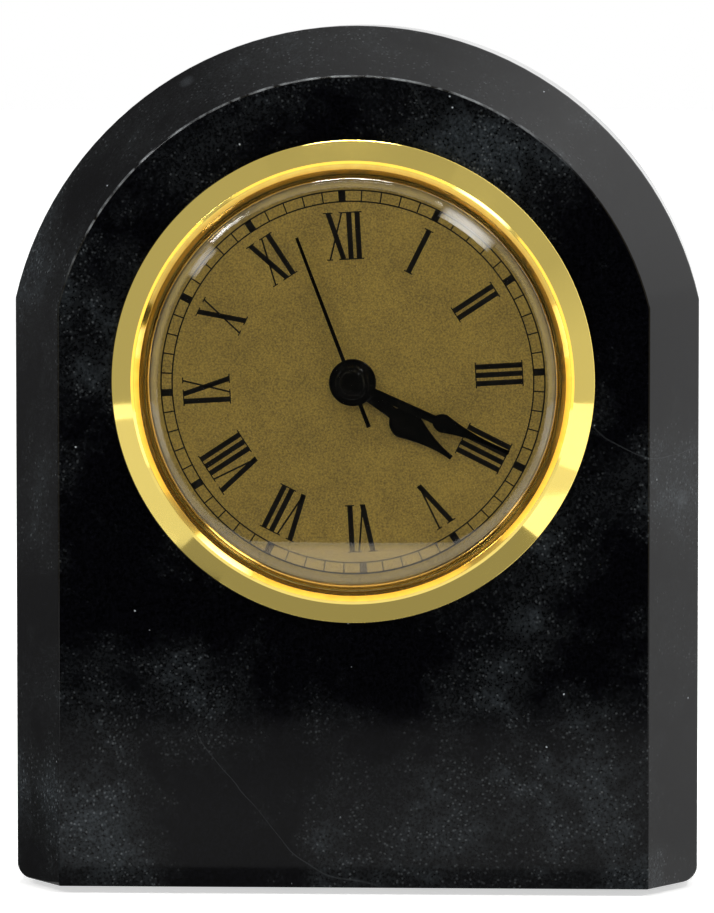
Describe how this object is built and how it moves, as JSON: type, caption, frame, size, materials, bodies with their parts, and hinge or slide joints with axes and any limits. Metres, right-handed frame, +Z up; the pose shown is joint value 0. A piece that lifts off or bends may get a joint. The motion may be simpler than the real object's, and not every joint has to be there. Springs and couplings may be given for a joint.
{
  "type": "arched marble shelf clock",
  "caption": "Round-arched black marble shelf clock with a bevelled front and a gold quartz insert, dial, hands and rear setting knob, for a desk or shelf.",
  "frame": {"origin": "centre of the felt's underside, on the surface that the clock stands on", "axes": "+Z up, the dial faces -Y, +X to the right seen from the front"},
  "size_m": [0.1, 0.0437, 0.126],
  "materials": {
    "black_marble": "polished black marble with grey clouding and fine pale veins",
    "green_felt": "pressed wool felt",
    "polished_gold": "polished gold plate",
    "clear_acrylic": "clear polished acrylic",
    "gold_dial": "satin gold paint",
    "black_hand": "gloss black",
    "gasket_rubber": "matt rubber",
    "black_abs": "fine moulded texture",
    "wheel_brass": "stamped brass",
    "white_acetal": "moulded acetal",
    "ferrite": "sintered ferrite",
    "soft_iron": "stamped iron",
    "copper_wire": "enamelled copper wire",
    "screw_steel": "turned steel",
    "circuit_laminate": "solder mask",
    "black_epoxy": "cast epoxy",
    "steel_can": "drawn steel",
    "contact_brass": "stamped spring brass"
  },
  "bodies": {
    "case": {"stone_case": "black_marble", "felt_base": "green_felt"},
    "insert": {"bezel": "polished_gold", "lens": "clear_acrylic", "dial": "gold_dial", "gasket_band": "gasket_rubber", "movement_cup": "black_abs", "rear_cover": "black_abs", "train_bridge": "wheel_brass", "bridge_screws": "screw_steel", "stator": "soft_iron", "coil_core": "soft_iron", "coil_bobbin": "white_acetal", "coil_winding": "copper_wire", "circuit_board": "circuit_laminate", "chip_cap": "black_epoxy", "quartz_crystal": "steel_can", "battery": "steel_can", "contact_minus": "contact_brass", "contact_plus": "contact_brass"},
    "seconds": {"seconds_wheel": "wheel_brass", "second_hand": "black_hand"},
    "third": {"third_wheel": "wheel_brass"},
    "centre": {"centre_wheel": "wheel_brass"},
    "fifth": {"fifth_wheel": "wheel_brass"},
    "rotor": {"rotor_pinion": "white_acetal", "rotor_magnet": "ferrite"},
    "minutes": {"cannon_pinion": "wheel_brass", "minute_hand": "black_hand"},
    "minute_work": {"minute_wheel": "wheel_brass"},
    "hours": {"hour_wheel": "wheel_brass", "hour_hand": "black_hand"},
    "setting": {"setting_pinion": "white_acetal", "setting_knob": "black_abs"},
    "hatch": {"battery_hatch": "black_abs"}
  },
  "joints": [
    {"name": "insert_pull", "type": "slide", "parent": "case", "child": "insert", "axis": [0, -1, 0], "range_m": [0, 0.03]},
    {"name": "second_hand_turn", "type": "hinge", "parent": "insert", "child": "seconds", "pos_m": [0, -0.019, 0.07469], "axis": [0, 1, 0], "continuous": true},
    {"name": "third_wheel_turn", "type": "hinge", "parent": "insert", "child": "third", "pos_m": [-0.00625, -0.019, 0.072], "axis": [0, 1, 0], "continuous": true},
    {"name": "centre_wheel_turn", "type": "hinge", "parent": "insert", "child": "centre", "pos_m": [0, -0.019, 0.07469], "axis": [0, 1, 0], "continuous": true},
    {"name": "fifth_wheel_turn", "type": "hinge", "parent": "insert", "child": "fifth", "pos_m": [0.00643, -0.019, 0.07146], "axis": [0, 1, 0], "continuous": true},
    {"name": "rotor_turn", "type": "hinge", "parent": "insert", "child": "rotor", "pos_m": [0.00675, -0.019, 0.06587], "axis": [0, 1, 0], "continuous": true},
    {"name": "minute_hand_turn", "type": "hinge", "parent": "insert", "child": "minutes", "pos_m": [0, -0.019, 0.07469], "axis": [0, 1, 0], "continuous": true},
    {"name": "minute_wheel_turn", "type": "hinge", "parent": "insert", "child": "minute_work", "pos_m": [-0.00033, -0.019, 0.08044], "axis": [0, 1, 0], "continuous": true},
    {"name": "hour_hand_turn", "type": "hinge", "parent": "insert", "child": "hours", "pos_m": [0, -0.019, 0.07469], "axis": [0, 1, 0], "continuous": true},
    {"name": "setting_knob_turn", "type": "hinge", "parent": "insert", "child": "setting", "pos_m": [0.00386, -0.019, 0.08439], "axis": [0, 1, 0], "continuous": true},
    {"name": "battery_hatch_turn", "type": "hinge", "parent": "insert", "child": "hatch", "pos_m": [-0.01812, -0.019, 0.07844], "axis": [0, 1, 0], "range_deg": [0, 45]}
  ],
  "couplings": [
    {"joint": "third_wheel_turn", "follows": "second_hand_turn", "ratio": -0.13333},
    {"joint": "centre_wheel_turn", "follows": "second_hand_turn", "ratio": 0.016667},
    {"joint": "fifth_wheel_turn", "follows": "second_hand_turn", "ratio": -5},
    {"joint": "rotor_turn", "follows": "second_hand_turn", "ratio": 30},
    {"joint": "minute_wheel_turn", "follows": "minute_hand_turn", "ratio": -0.33333},
    {"joint": "hour_hand_turn", "follows": "minute_hand_turn", "ratio": 0.083333},
    {"joint": "setting_knob_turn", "follows": "minute_hand_turn", "ratio": 1}
  ]
}
